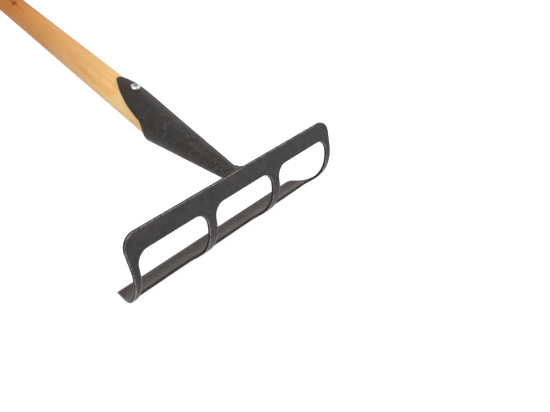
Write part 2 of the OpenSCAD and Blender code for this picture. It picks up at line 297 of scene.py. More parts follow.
class HOERAKE_PG_handle(PropertyGroup):
    hole_round: FloatProperty(
        name="Hole rounding", description="Radius on the edges of the hanging hole",
        default=1 * MM, unit="LENGTH")
    pale_colour: FloatVectorProperty(
        name="Pale wood", description="Colour between the grain lines", subtype="COLOR", size=3,
        default=(1.0, 0.72, 0.355))
    deep_colour: FloatVectorProperty(
        name="Deep wood", description="Colour of the grain lines", subtype="COLOR", size=3,
        default=(0.5, 0.19, 0.045))
    knot_colour: FloatVectorProperty(
        name="Knot", description="Colour of the small knot", subtype="COLOR", size=3,
        default=(0.21, 0.045, 0.01))
    knot_at: FloatProperty(
        name="Knot place", description="Distance of the knot along the handle from the bar's face",
        default=342 * MM, unit="LENGTH")
    knot_turn: FloatProperty(
        name="Knot turn", description="Turn of the knot round the handle from its upper side",
        default=math.radians(-27), unit="ROTATION")
    knot_radius: FloatProperty(
        name="Knot radius", description="Radius of the handle at the knot",
        default=12.6 * MM, unit="LENGTH")
    ring_width: FloatProperty(
        name="Ring width", description="Width of one growth ring", default=2.5 * MM, unit="LENGTH")
    heart: FloatVectorProperty(
        name="Heart", description="Where the tree's heart lay beside the handle's axis",
        size=3, default=(45 * MM, 0, 36 * MM), unit="LENGTH")


class HOERAKE_PG_stage(PropertyGroup):
    focal_length: FloatProperty(
        name="Lens", description="Focal length on a 36 mm sensor, in millimetres", default=39.93)
    floor_colour: FloatVectorProperty(
        name="Floor", description="Colour of the pale floor", subtype="COLOR", size=3,
        default=(0.6, 0.6, 0.6))
    sky: FloatProperty(
        name="Sky", description="Strength of the light from all round", default=0.5)
    key: FloatProperty(
        name="Key lamp", description="Power of the large soft lamp", default=26, unit="POWER")


PARTS = ("plate", "socket", "weld", "screw", "handle", "stage")


def sizes(part):
    return getattr(bpy.context.scene, "hoe_rake_" + part)


# Mesh helpers


def deselect():
    if bpy.context.object and bpy.context.object.mode != "OBJECT":
        bpy.ops.object.mode_set(mode="OBJECT")
    bpy.ops.object.select_all(action="DESELECT")


def take(piece):
    deselect()
    piece.select_set(True)
    bpy.context.view_layer.objects.active = piece


def copy_of(node, name):
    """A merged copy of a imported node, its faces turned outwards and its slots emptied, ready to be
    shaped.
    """
    deselect()
    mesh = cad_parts[node].data.copy()
    mesh.name = name
    piece = bpy.data.objects.new(name, mesh)
    bpy.context.scene.collection.objects.link(piece)
    take(piece)
    bpy.ops.object.mode_set(mode="EDIT")
    bpy.ops.mesh.select_all(action="SELECT")
    bpy.ops.mesh.customdata_custom_splitnormals_clear()
    bpy.ops.mesh.remove_doubles(threshold=SAME_POINT)
    bpy.ops.mesh.normals_make_consistent(inside=False)
    bpy.ops.object.mode_set(mode="OBJECT")
    mesh.materials.clear()
    return piece


def face_outward(mesh):
    """Turns every face outwards, for a closed mesh."""
    bm = bmesh.new()
    bm.from_mesh(mesh)
    bmesh.ops.recalc_face_normals(bm, faces=bm.faces)
    bm.to_mesh(mesh)
    bm.free()


def choose_edges(piece, wanted):
    """In edit mode, selects the edges for which wanted(edge) is true, and says how many."""
    bm = bmesh.from_edit_mesh(piece.data)
    for group in (bm.verts, bm.edges, bm.faces):
        for part in group:
            part.select = False
    chosen = [e for e in bm.edges if wanted(e)]
    for e in chosen:
        e.select_set(True)
    bmesh.update_edit_mesh(piece.data)
    return len(chosen)


def is_sharp(edge, degrees):
    return len(edge.link_faces) == 2 and edge.calc_face_angle() > math.radians(degrees)


def finish_piece(piece, node, material, smooth):
    """Shades a piece smooth up to some degrees, gives it its finish in one slot, hangs it on the root body
    and hides the imported node that it replaces.
    """
    take(piece)
    bpy.ops.object.shade_smooth_by_angle(angle=math.radians(smooth))
    piece.data.materials.clear()
    piece.data.materials.append(material)
    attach(piece, "root")
    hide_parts(node)
    deselect()


# Finishes

# How strongly a finish catches the light: oiled wood and mill scale, then forged steel
MATT = 0.16
SATIN = 0.24
# The colour inputs of the Mix node, which share their names with its other inputs
COLOUR_A, COLOUR_B = 6, 7


class Nodes:
    """The shader nodes of a material or a world, built one node at a time."""

    def __init__(self, owner):
        owner.use_nodes = True
        self.tree = owner.node_tree
        self.tree.nodes.clear()

    def add(self, kind, inputs=None, **settings):
        """A node with its settings and its inputs, each a value or the socket that feeds it."""
        node = self.tree.nodes.new("ShaderNode" + kind)
        for key, value in settings.items():
            setattr(node, key, value)
        for key, value in (inputs or {}).items():
            if isinstance(value, bpy.types.NodeSocket):
                self.tree.links.new(value, node.inputs[key])
            else:
                node.inputs[key].default_value = value
        return node

    def math(self, operation, a, b):
        return self.add("Math", {0: a, 1: b}, operation=operation).outputs["Value"]

    def seen(self):
        """1 for the rays that see the backdrop: from the camera, off a gloss or through glass."""
        rays = self.add("LightPath").outputs
        seen = self.math("MAXIMUM", rays["Is Camera Ray"], rays["Is Glossy Ray"])
        return self.math("MAXIMUM", seen, rays["Is Transmission Ray"])


class Finish(Nodes):
    """A material for one finish, whose methods hand on the sockets that they make."""

    def __init__(self, name):
        self.material = bpy.data.materials.new(name)
        super().__init__(self.material)
        self.where = self.add("TexCoord").outputs["Object"]

    def surfaced(self, **inputs):
        """The material, with its shader's inputs set or fed: Base_Color is the input Base Color."""
        named = {key.replace("_", " "): value for key, value in inputs.items()}
        shader = self.add("BsdfPrincipled", named).outputs["BSDF"]
        self.add("OutputMaterial", {"Surface": shader})
        return self.material

    def drawn(self, scale):
        """Coordinates drawn out along the bar, X."""
        return self.add("Mapping", {"Vector": self.where, "Scale": (scale, 1, 1)}).outputs["Vector"]

    def laid(self, stretch=1.0):
        """Coordinates laid along the handle's axis: Y along it, drawn out by a stretch."""
        inputs = {"Vector": self.where, "Location": HANDLE.origin,
                  "Rotation": (math.asin(HANDLE.along.z), 0, 0), "Scale": (1, stretch, 1)}
        return self.add("Mapping", inputs, vector_type="TEXTURE").outputs["Vector"]

    def down_handle(self):
        """Distance along the handle's axis from the bar's face."""
        return self.add("SeparateXYZ", {"Vector": self.laid()}).outputs["Y"]

    def near(self, point, reach, stretch):
        """1 at a point beside the handle's axis, falling to 0 at a reach, drawn out along it."""
        inputs = {0: self.laid(stretch), 1: (point.x, point.y / stretch, point.z)}
        apart = self.add("VectorMath", inputs, operation="DISTANCE")
        return self.ramp(apart.outputs["Value"], reach, 0)

    def marked(self, name):
        """What the piece's mesh carries under a name."""
        return self.add("Attribute", attribute_name=name).outputs["Fac"]

    def noise(self, where, scale, detail, rough=0.55, output="Fac"):
        inputs = {"Vector": where, "Scale": scale, "Detail": detail, "Roughness": rough}
        return self.add("TexNoise", inputs).outputs[output]

    def ramp(self, source, low, high):
        """0 to 1, eased, as the source goes from low to high."""
        inputs = {"Value": source, "From Min": low, "From Max": high}
        return self.add("MapRange", inputs, interpolation_type="SMOOTHSTEP").outputs["Result"]

    def scaled(self, source, low, high, start=0.0, end=1.0):
        """Straight map of the source from start..end to low..high."""
        inputs = {"Value": source, "From Min": start, "From Max": end, "To Min": low, "To Max": high}
        return self.add("MapRange", inputs).outputs["Result"]

    def patches(self, scale, detail, rough, low, high):
        """0 to 1 over the patches of a noise, whose edges lie between low and high."""
        return self.ramp(self.noise(self.where, scale, detail, rough), low, high)

    def both(self, a, b):
        return self.math("MULTIPLY", a, b)

    def mix(self, share, a, b, blend="MIX"):
        """Colour a to colour b by a share."""
        pair = [c if isinstance(c, bpy.types.NodeSocket) else (*c, 1) for c in (a, b)]
        inputs = {"Factor": share, COLOUR_A: pair[0], COLOUR_B: pair[1]}
        return self.add("Mix", inputs, data_type="RGBA", blend_type=blend).outputs["Result"]

    def tinted(self, share, colour, tint):
        """The colour multiplied by a tint, by a share."""
        return self.mix(share, colour, tint, "MULTIPLY")

    def bump(self, height, distance, strength):
        inputs = {"Height": height, "Distance": distance, "Strength": strength}
        return self.add("Bump", inputs).outputs["Normal"]


def plate_finish(p):
    f = Finish("plate scale, worn edges")
    cloud = f.noise(f.where, 45, 6, 0.62)
    fine = f.noise(f.where, 420, 4, 0.7)
    scratch = f.noise(f.drawn(0.08), 900, 3, 0.7)
    colour = f.mix(f.ramp(cloud, 0.38, 0.68), p.scale_colour, shaded(p.scale_colour, 1.35))
    colour = f.mix(f.scaled(f.ramp(fine, 0.5, 0.7), 0, 0.5), colour, shaded(p.scale_colour, 2.2))
    colour = f.tinted(f.patches(170, 4, 0.65, low=0.46, high=0.6), colour, (0.82, 0.79, 0.79))
    scuff = f.both(f.ramp(scratch, 0.6, 0.72), f.patches(48, 4, 0.7, low=0.54, high=0.68))
    colour = f.mix(f.scaled(scuff, 0, 0.55), colour, shaded(p.worn_colour, 0.5))
    # Rust blooms on the blade, drawn into streaks along it and broken by pits
    blade = f.marked("blade")
    bloom = f.both(blade, f.scaled(f.patches(60, 5, 0.7, low=0.36, high=0.62), 0.45, 1))
    colour = f.mix(f.scaled(bloom, 0, 0.85), colour, p.rust_colour)
    streak = f.both(blade, f.ramp(f.noise(f.drawn(0.06), 330, 4, 0.7), 0.47, 0.62))
    colour = f.mix(streak, colour, shaded(p.rust_colour, 1.5))
    pits = f.both(blade, f.scaled(f.patches(300, 5, 0.8, low=0.5, high=0.6), 0, 0.95))
    colour = f.mix(pits, colour, shaded(p.rust_colour, (3, 2.7, 2.6)))
    colour = f.tinted(f.marked("cut"), colour, (0.38, 0.33, 0.31))
    # The edges are rubbed to bare steel, here and there with a blush of rust
    rub = f.both(f.marked("wear"), f.scaled(f.patches(330, 5, 0.75, low=0.4, high=0.56), 0.08, 1))
    blush = f.mix(f.scaled(f.patches(90, 3, 0.6, low=0.5, high=0.62), 0, 0.3),
                  p.worn_colour, shaded(p.worn_colour, (0.8, 0.5, 0.42)))
    colour = f.mix(rub, colour, blush)
    return f.surfaced(
        Base_Color=colour, Metallic=f.scaled(rub, 0, 0.3), Specular_IOR_Level=MATT,
        Roughness=f.scaled(cloud, 0.4, 0.58, 0.3, 0.7),
        Normal=f.bump(f.math("ADD", fine, scratch), 0.05 * MM, 0.7))


def socket_finish(p):
    f = Finish("forged socket scale")
    cloud = f.noise(f.where, 70, 6, 0.65)
    patch = f.noise(f.where, 210, 5, 0.75)
    speck = f.noise(f.where, 1100, 3, 0.6)
    along = f.down_handle()
    # Pale patches of thin scale, fainter from the mouth to the lip's tip
    pale = f.both(f.ramp(patch, 0.42, 0.66), f.ramp(cloud, 0.34, 0.6))
    fainter = f.scaled(f.ramp(along, 100 * MM, 150 * MM), 1, 0.4)
    colour = f.mix(f.both(pale, fainter), p.scale_colour, p.light_colour)
    colour = f.mix(f.scaled(f.patches(34, 4, 0.6, low=0.45, high=0.65), 0, 0.5), colour, p.brown_colour)
    # Heat has browned the lip, and the neck is speckled where the weld's heat reached it
    heated = f.both(f.ramp(along, p.lip_at, p.lip_at + 30 * MM), f.patches(60, 3, 0.6, low=0.4, high=0.56))
    colour = f.mix(f.scaled(heated, 0, 0.6), colour, p.brown_colour)
    flecks = f.both(f.ramp(along, p.neck_end, 20 * MM), f.patches(380, 4, 0.7, low=0.46, high=0.68))
    colour = f.mix(f.scaled(flecks, 0, 0.6), colour, shaded(p.light_colour, (1.8, 1.55, 1.5)))
    return f.surfaced(
        Base_Color=f.tinted(f.marked("cut"), colour, (0.22, 0.17, 0.14)), Specular_IOR_Level=SATIN,
        Roughness=f.scaled(cloud, 0.42, 0.62, 0.3, 0.7),
        Normal=f.bump(f.math("ADD", speck, patch), 0.05 * MM, 0.8))


def weld_finish(p):
    f = Finish("weld bead")
    colour = f.mix(f.patches(120, 4, 0.6, low=0.4, high=0.62), p.colour, p.heat_colour)
    return f.surfaced(
        Base_Color=f.tinted(f.marked("toe"), colour, (0.25, 0.2, 0.18)), Specular_IOR_Level=SATIN,
        Roughness=f.scaled(f.noise(f.where, 300, 3), 0.35, 0.55, 0.3, 0.7),
        Normal=f.bump(f.noise(f.where, 1200, 3), 0.03 * MM, 0.6))


def screw_finish(p):
    f = Finish("bright zinc")
    # Painted shade: the walls and floor of the cross recess are painted dark and made less metallic
    recess = f.marked("recess")
    colour = f.mix(f.patches(900, 4, 0.6, low=0.45, high=0.7), p.colour, shaded(p.colour, 0.6))
    return f.surfaced(
        Base_Color=f.mix(recess, colour, p.recess_shade_colour), Metallic=f.scaled(recess, 1, 0.2),
        Roughness=f.scaled(f.noise(f.where, 1500, 2), 0.2, 0.42, 0.3, 0.7),
        Normal=f.bump(f.noise(f.where, 2500, 2), 0.01 * MM, 0.5))


def growth_rings(f, p, where):
    """The growth rings, round the heart of the tree, which lies outside the handle."""
    waver = f.noise(f.laid(12), 26, 3, 0.5, output="Color")
    waved = {0: waver, 1: (7 * MM, 0, 7 * MM), 2: p.heart}
    heart = f.add("VectorMath", waved, operation="MULTIPLY_ADD").outputs["Vector"]
    bent = f.add("VectorMath", {0: where, 1: heart}, operation="ADD").outputs["Vector"]
    # At a scale of 1 the texture's rings lie pi / 10 apart
    inputs = {"Vector": bent, "Scale": math.pi / (10 * p.ring_width),
              "Distortion": 3, "Detail": 3, "Detail Scale": 0.5}
    rings = f.add("TexWave", inputs, wave_type="RINGS", rings_direction="Y", wave_profile="SAW")
    return f.ramp(rings.outputs["Fac"], 0.2, 0.98)


def handle_finish(p):
    f = Finish("oiled ash")
    drawn = f.laid(55)
    fibre = f.noise(drawn, 1500, 4, 0.65)
    streak = f.scaled(f.noise(f.laid(20), 190, 4, 0.6), 0.35, 1, 0.35, 0.65)
    strong = f.scaled(f.noise(f.laid(8), 75, 3, 0.5), 0.1, 1, 0.36, 0.62)
    grain = f.both(growth_rings(f, p, drawn), f.both(streak, strong))
    colour = f.mix(f.scaled(grain, 0, 0.6), p.pale_colour, p.deep_colour)
    colour = f.mix(f.scaled(f.ramp(fibre, 0.5, 0.72), 0, 0.42), colour, p.deep_colour)
    colour = f.tinted(f.ramp(f.noise(f.laid(9), 60, 3, 0.5), 0.4, 0.62), colour, (0.97, 0.88, 0.74))
    colour = f.tinted(f.ramp(f.noise(f.laid(4), 55, 3, 0.6), 0.5, 0.66), colour, (0.98, 0.8, 0.6))
    # The wood is deeper in colour round the knot and pales again towards the butt. The deepening from the
    # head out to the knot is partly the wood's tone and partly painted shade, standing in for light that
    # is brighter near the head.
    along = f.down_handle()
    rise = f.scaled(along, 0, 1, 170 * MM, p.knot_at)
    fall = f.scaled(f.ramp(along, p.knot_at + 80 * MM, p.knot_at + 400 * MM), 1, 0.3)
    colour = f.tinted(f.both(rise, fall), colour, (0.6, 0.32, 0.13))
    turn, radius = p.knot_turn, p.knot_radius
    knot = Vector((math.sin(turn) * radius, p.knot_at, math.cos(turn) * radius))
    colour = f.mix(f.scaled(f.near(knot, 1.5 * MM, 22), 0, 0.6), colour, p.knot_colour)
    colour = f.mix(f.near(knot, 4.4 * MM, 1.3), colour, p.knot_colour)
    return f.surfaced(
        Base_Color=colour, Specular_IOR_Level=MATT,
        Roughness=f.scaled(fibre, 0.36, 0.52, 0.3, 0.7), Normal=f.bump(fibre, 0.04 * MM, 0.35))


# Pieces


class HOERAKE_OT_head_plate(Operator):
    """Cuts the plate flat with its three windows, rounds its edges and bends it back"""

    bl_idname = "hoerake.head_plate"
    bl_label = "Head plate"

    CORNER_STEPS = 14
    SIDE_STEPS = 48
    WINDOW_STEPS = 12
    MERGE = 0.3 * MM
    FINE_MERGE = 0.03 * MM
    # Edges that turn by more degrees than this are rounded
    SQUARE = 60
    # A face whose normal rises by less than this is a cut wall, and by more than that is flat
    WALL = 0.2
    FLAT = 0.96
    # The rub grows over the start of the bend, and the blade's finish starts above the windows' foot
    RUB_GROWS = 30 * MM
    BLADE_FROM = 14 * MM
    BLADE_FADE = 12 * MM

    def surface(self, s):
        """At s down the plate: its outer face's y and z in the bar's frame, and its turn."""
        p = self.p
        arc = within(s - p.upright, 0, p.bend_radius * math.pi / 2)
        turn = arc / p.bend_radius
        y = p.bend_radius * (1 - math.cos(turn))
        z = -min(s, p.upright) - p.bend_radius * math.sin(turn)
        return y + max(s - p.upright - p.bend_radius * math.pi / 2, 0), z, turn

    def half_width(self, s):
        """Half of the plate's width: rounded at the top, drawn in at the straps, slanted at the blade."""
        p = self.p
        half = p.bar_length / 2
        if s < p.corner:
            return half - p.corner + math.sqrt(p.corner ** 2 - (p.corner - s) ** 2)
        y, z, _turn = self.surface(s)
        foot_z = self.surface(self.foot)[1]
        start = self.surface(self.foot - p.window_foot_corner)[0]
        drawn = (-z - p.corner) / (-foot_z - p.corner)
        slant = (y - start) / (self.surface(self.edge)[0] - start)
        return half - p.draw_in * min(drawn, 1) - (p.edge_inset - p.draw_in) * max(slant, 0)

    def outline(self):
        p = self.p
        turns = [math.pi / 2 * k / self.CORNER_STEPS for k in range(self.CORNER_STEPS)]
        arc = [p.corner * (1 - math.cos(turn)) for turn in turns]
        step = (self.edge - p.corner) / self.SIDE_STEPS
        down = [p.corner + step * k for k in range(self.SIDE_STEPS + 1)]
        right = [(self.half_width(s), s) for s in arc + down]
        return right + [(-x, s) for x, s in reversed(right)]

    def window(self, middle):
        p = self.p
        half = p.window_width / 2
        turns = [math.pi / 2 * k / self.WINDOW_STEPS for k in range(self.WINDOW_STEPS + 1)]
        right = [(half - p.window_top_corner * (1 - math.sin(turn)),
                  p.bar_height + p.window_top_corner * (1 - math.cos(turn))) for turn in turns]
        for turn in turns:
            reach = p.window_foot_corner * (1 - math.sin(turn))
            right.append((half - p.window_foot_corner * (1 - math.cos(turn)),
                          self.foot - p.bend_radius * math.asin(reach / p.bend_radius)))
        return [(middle + x, s) for x, s in right + [(-x, s) for x, s in reversed(right)]]

    def draw_flat(self, piece):
        """In edit mode, fills the outline round its windows and cuts lines across it to bend at."""
        p = self.p
        bm = bmesh.from_edit_mesh(piece.data)
        pitch = p.window_width + p.strap_width
        for loop in [self.outline()] + [self.window(k * pitch) for k in (-1, 0, 1)]:
            corners = [bm.verts.new((x, -s, 0)) for x, s in loop]
            for a, b in zip(corners, corners[1:] + corners[:1]):
                bm.edges.new((a, b))
        bmesh.update_edit_mesh(piece.data)
        bpy.ops.mesh.select_all(action="SELECT")
        bpy.ops.mesh.fill(use_beauty=True)
        bpy.ops.mesh.select_all(action="SELECT")
        bpy.ops.mesh.dissolve_limited(angle_limit=math.radians(1))
        bend = p.bend_radius * math.pi / 2
        steps = round(bend / p.bend_step)
        lines = [p.upright + bend * k / steps for k in range(steps + 1)]
        ridge = [self.ridge - p.ridge, self.ridge, self.ridge + p.ridge]
        for line in [p.bar_height] + lines + ridge:
            bpy.ops.mesh.select_all(action="SELECT")
            bpy.ops.mesh.bisect(plane_co=(0, -line, 0), plane_no=(0, 1, 0))
        bpy.ops.mesh.select_all(action="SELECT")
        bpy.ops.mesh.remove_doubles(threshold=self.MERGE)

    def border(self, piece):
        """In edit mode, insets a band along the edges and notes its faces."""
        bpy.ops.mesh.inset(thickness=self.p.border, use_boundary=True)
        bm = bmesh.from_edit_mesh(piece.data)
        border = bm.faces.layers.float.new("border")
        for face in bm.faces:
            face[border] = 0.0 if face.select else 1.0
        bmesh.update_edit_mesh(piece.data)

    def execute(self, context):
        self.p = p = sizes("plate")
        self.edge = p.upright + p.bend_radius * math.pi / 2 + p.blade_flat
        self.foot = self.edge - p.blade_width
        self.ridge = self.edge - p.bevel_width
        deselect()
        bpy.ops.mesh.primitive_plane_add(size=1)
        piece = bpy.context.object
        piece.name = piece.data.name = "hoe_plate"
        bpy.ops.object.mode_set(mode="EDIT")
        bpy.ops.mesh.delete(type="VERT")
        self.draw_flat(piece)
        self.border(piece)
        bpy.ops.mesh.select_all(action="SELECT")
        bpy.ops.mesh.extrude_region_move(TRANSFORM_OT_translate={"value": (0, 0, p.thickness)})
        bpy.ops.mesh.select_all(action="SELECT")
        bpy.ops.mesh.normals_make_consistent(inside=False)
        if not choose_edges(piece, lambda e: is_sharp(e, self.SQUARE)):
            raise RuntimeError("the plate has no edges to round")
        bpy.ops.mesh.bevel(offset=p.edge_round, segments=3, clamp_overlap=False)
        bpy.ops.mesh.select_all(action="SELECT")
        bpy.ops.mesh.remove_doubles(threshold=self.FINE_MERGE)
        bpy.ops.object.mode_set(mode="OBJECT")
        self.mark(piece.data)
        self.bend(piece.data)
        finish_piece(piece, "head_plate", plate_finish(p), smooth=30)
        return {"FINISHED"}

    def mark(self, mesh):
        """Marks the worn edges, the cut walls and the blade for the finish."""
        cut = mesh.attributes.new("cut", "FLOAT", "FACE")
        worn = [1.0] * len(mesh.vertices)
        border = [band.value for band in mesh.attributes["border"].data]
        for face, wall, band in zip(mesh.polygons, cut.data, border):
            rise = face.normal.z
            s = -face.center.y
            bent = within((s - self.p.upright) / self.RUB_GROWS)
            share = 0.0
            if abs(rise) <= self.WALL:
                wall.value = 1 - 0.9 * self.bladeness(s)
            elif -self.FLAT < rise < 0:
                share = 0.75 + 0.25 * bent
            elif rise < 0:
                share = (0.5 + 0.45 * bent) * band
            elif rise < self.FLAT:
                share = 0.95 if s > self.foot else 0.15
            elif s > self.ridge:
                wall.value = 0.6
            for index in face.vertices:
                worn[index] = min(worn[index], share)
        mesh.attributes.remove(mesh.attributes["border"])
        wear = mesh.attributes.new("wear", "FLOAT", "POINT")
        blade = mesh.attributes.new("blade", "FLOAT", "POINT")
        for v, rub, mark, share in zip(mesh.vertices, wear.data, blade.data, worn):
            on_ridge = abs(v.co.y + self.ridge) < 0.05 * MM and v.co.z > 0.99 * self.p.thickness
            rub.value = 0.9 if on_ridge else share
            mark.value = self.bladeness(-v.co.y)

    def bladeness(self, s):
        """0 up the straps, 1 from just above the windows' foot down."""
        return within((s - self.foot + self.BLADE_FROM) / self.BLADE_FADE)

    def bend(self, mesh):
        """Wraps the flat plate round the bend and thins it to the cutting edge."""
        p = self.p
        for v in mesh.vertices:
            s = -v.co.y
            y, z, turn = self.surface(s)
            taper = within((s - self.ridge) / p.bevel_width)
            deep = v.co.z * (1 - taper * (1 - p.edge_thickness / p.thickness))
            v.co = from_bar(v.co.x, y + deep * math.cos(turn), z + deep * math.sin(turn))
        face_outward(mesh)


class HOERAKE_OT_socket(Operator):
    """Builds the rolled socket: solid neck, cone, open seam and leaf-shaped lip"""

    bl_idname = "hoerake.socket"
    bl_label = "Socket"

    # The cone's wall, and the step and the room round the wood in its mouth
    WALL = 2 * MM
    TENON_STEP = 0.7 * MM
    TENON_END = 3 * MM
    WOOD_FIT = 0.15 * MM
    # The cone runs on past its turn, then falls away under the lip, which it meets before the turn
    PAST = 2 * MM
    FALL = 0.12
    LIP_MEETS = -8 * MM
    LIP_BLEND = 0.35 * MM
    # The lip, measured along the handle's axis from the bar's face
    LIP_END = 178.3 * MM
    RIM_AT = LIP_END - 63.5 * MM
    LIP_START = RIM_AT - PAST
    THROAT_IN = 50 * MM
    THROAT_H = 6.5 * MM
    THROAT_AT = LIP_END - THROAT_IN
    NOSE_AT = LIP_END - 12 * MM
    LEAN_R = 19.6 * MM
    TIP_H = 17.4 * MM
    # How the lip's edge leaves the throat towards the nose, and the share of it that turns down
    PULL = (0.56 * THROAT_IN, 0.92 * THROAT_H)
    TURN_DOWN = 0.2
    BLUNT = 0.1
    CURVE_STEPS = 40
    OUTSIDE = bezier([(LIP_START, CONE_R - 0.5 * MM), (RIM_AT + 21 * MM, LEAN_R),
                      (NOSE_AT, LEAN_R), (LIP_END, TIP_H)], CURVE_STEPS)
    NOSE = bezier([(LIP_END, TIP_H - BLUNT * MM), (NOSE_AT, 17.8 * MM),
                   (THROAT_AT + PULL[0], THROAT_H + PULL[1]), (THROAT_AT, THROAT_H)], CURVE_STEPS)
    MOUTH = bezier([(THROAT_AT, THROAT_H),
                    (THROAT_AT - TURN_DOWN * PULL[0], THROAT_H - TURN_DOWN * PULL[1]),
                    (RIM_AT + TURN_DOWN * (THROAT_AT - RIM_AT), -BLUNT * THROAT_H),
                    (RIM_AT, -CONE_R)], CURVE_STEPS)
    EDGE = sorted(NOSE + MOUTH[1:])
    # The inside along the handle's axis: at the cone's mouth, and with room round the wood where
    # that is fullest and at its waist
    WOOD = [(115.4 * MM, CONE_R - WALL),
            (RIM_AT + 8 * MM, 16.1 * MM + WOOD_FIT),
            (355 * MM, 12.5 * MM + WOOD_FIT)]
    SCREW_AT = 154.5 * MM
    SCREW_TURN = math.radians(4)
    SEAT_R = 19 * MM
    SEAT_REACH = 6 * MM
    # Two grains of hammer marks, as waves to a metre, and where they fade in along the neck
    COARSE = 95
    FINE = 210
    MARKS_FROM = -108 * MM
    MARKS_FADE = 12 * MM
    # The lip's edge is looked for between these places on the cone's axis
    RIM_RANGE = (-12 * MM, 72 * MM)
    HALVINGS = 26
    ROUNDS = 5
    MERGE = 0.004 * MM

    def lip_radius(self, at):
        if at < self.LIP_START:
            return self.OUTSIDE[0][1] - 0.3 * (self.LIP_START - at)
        return interp(at, self.OUTSIDE)

    def meet(self, at, turn, radius_of):
        """Radius from the cone's axis at which a surface turned about the handle's axis is met."""
        r = radius_of(HANDLE.place(CONE.point(at))[0])
        for _ in range(self.ROUNDS):
            along, out, _h = HANDLE.place(CONE.point(at, r, turn))
            r += radius_of(along) - out
        return r

    def outside(self, at, turn):
        p = self.p
        slope = math.tan(p.half_angle)
        cone = p.mouth_radius + min(at, self.PAST) * slope - self.FALL * max(at - self.PAST, 0)
        if at < self.LIP_MEETS:
            return cone
        lip = self.meet(at, turn, self.lip_radius)
        return (cone + lip + math.sqrt((cone - lip) ** 2 + self.LIP_BLEND ** 2)) / 2

    def inside(self, at, turn):
        p = self.p
        plug = p.mouth_radius - self.WALL - self.TENON_STEP
        plug += min(at, self.TENON_END) * math.tan(p.half_angle)
        along = HANDLE.place(CONE.point(at, plug, turn))[0]
        if along < self.WOOD[0][0]:
            return plug
        return self.meet(at, turn, lambda a: interp(a, self.WOOD))

    def is_steel(self, at, turn):
        along, _out, height = HANDLE.place(CONE.point(at, self.outside(at, turn), turn))
        if along < self.RIM_AT:
            return True
        if along > self.LIP_END:
            return False
        return height > interp(along, self.EDGE)

    def rim(self, turn):
        """Where the steel ends along the cone's axis."""
        low, high = self.RIM_RANGE
        for _ in range(self.HALVINGS):
            middle = (low + high) / 2
            if self.is_steel(middle, turn):
                low = middle
            else:
                high = middle
        return low

    def neck_foot(self, turn):
        """Where the cone's outside meets the bar's back."""
        p = self.p
        slope = math.tan(p.half_angle)
        normal = from_bar(0, 1, 0) - BAR_TOP
        side = math.sin(turn) * ACROSS + math.cos(turn) * CONE.up
        gap = (CONE.origin - from_bar(0, PLATE_T, 0)).dot(normal)
        return -(gap + p.mouth_radius * side.dot(normal)) / (CONE.along + slope * side).dot(normal)

    def forged(self, point, at, radius):
        """The radius with shallow hammer marks and the dimple round the screw."""
        p = self.p
        marks = noise.noise(point * self.COARSE) + 0.5 * noise.noise(point * self.FINE)
        held = within((at - self.MARKS_FROM) / self.MARKS_FADE)
        seat = HANDLE.point(self.SCREW_AT, self.SEAT_R, self.SCREW_TURN)
        near = (point - seat).length / self.SEAT_REACH
        return radius + held * p.hammer_depth * marks - p.dimple * math.exp(-near ** 4)

    def rows_of(self, turns):
        """Rows of (side, place along the cone, how far the edge's rounding draws it in)."""
        p = self.p
        foot = [self.neck_foot(t) for t in turns]
        rim = [self.rim(t) for t in turns]
        rim[0] = rim[-1] = (rim[0] + rim[-1]) / 2
        e = p.edge_round
        rows = []
        for j in range(p.neck_rows):
            u = j / p.neck_rows
            rows.append([("out", f + u * (-p.bore_depth - f), 0) for f in foot])
        cup = []
        for j in range(p.cup_rows + 1):
            u = j / p.cup_rows
            cup.append([-p.bore_depth + u * (c - e + p.bore_depth) for c in rim])
        rows += [[("out", at, 0) for at in row] for row in cup]
        for side, nearer in (("out", True), ("out", False), ("in", False), ("in", True)):
            rows.append([(side, c - 0.3 * e, 0.3 * e) if nearer else (side, c, e) for c in rim])
        return rows + [[("in", at, 0) for at in row] for row in reversed(cup)]

    def execute(self, context):
        self.p = p = sizes("socket")
        deselect()
        turns = [math.pi * (2 * i / p.around - 1) for i in range(p.around + 1)]
        rows = self.rows_of(turns)
        bpy.ops.mesh.primitive_grid_add(
            x_subdivisions=p.around, y_subdivisions=len(rows) - 1, size=1)
        piece = bpy.context.object
        piece.name = piece.data.name = "rolled_socket"
        width = p.around + 1
        for index, v in enumerate(piece.data.vertices):
            j, i = divmod(index, width)
            side, at, pull = rows[j][i]
            turn = turns[i]
            if side == "out":
                radius = self.outside(at, turn)
                radius = self.forged(CONE.point(at, radius, turn), at, radius) - pull
            else:
                radius = self.inside(at, turn) + pull
            v.co = CONE.point(at, radius, turn)
            split = p.neck_rows < j < len(rows) - 1
            if split and i in (0, p.around):
                v.co.x = math.copysign(p.seam / 2, turn)
        # The faces round the lip's edge are darkened
        wall = p.neck_rows + p.cup_rows + 2
        marks = piece.data.attributes.new("cut", "FLOAT", "FACE").data
        for row, dark in ((wall - 1, 0.6), (wall, 1.0), (wall + 1, 0.6)):
            for i in range(p.around):
                marks[row * p.around + i].value = dark
        self.close(piece, width, len(rows))
        finish_piece(piece, "socket", socket_finish(p), smooth=40)
        return {"FINISHED"}

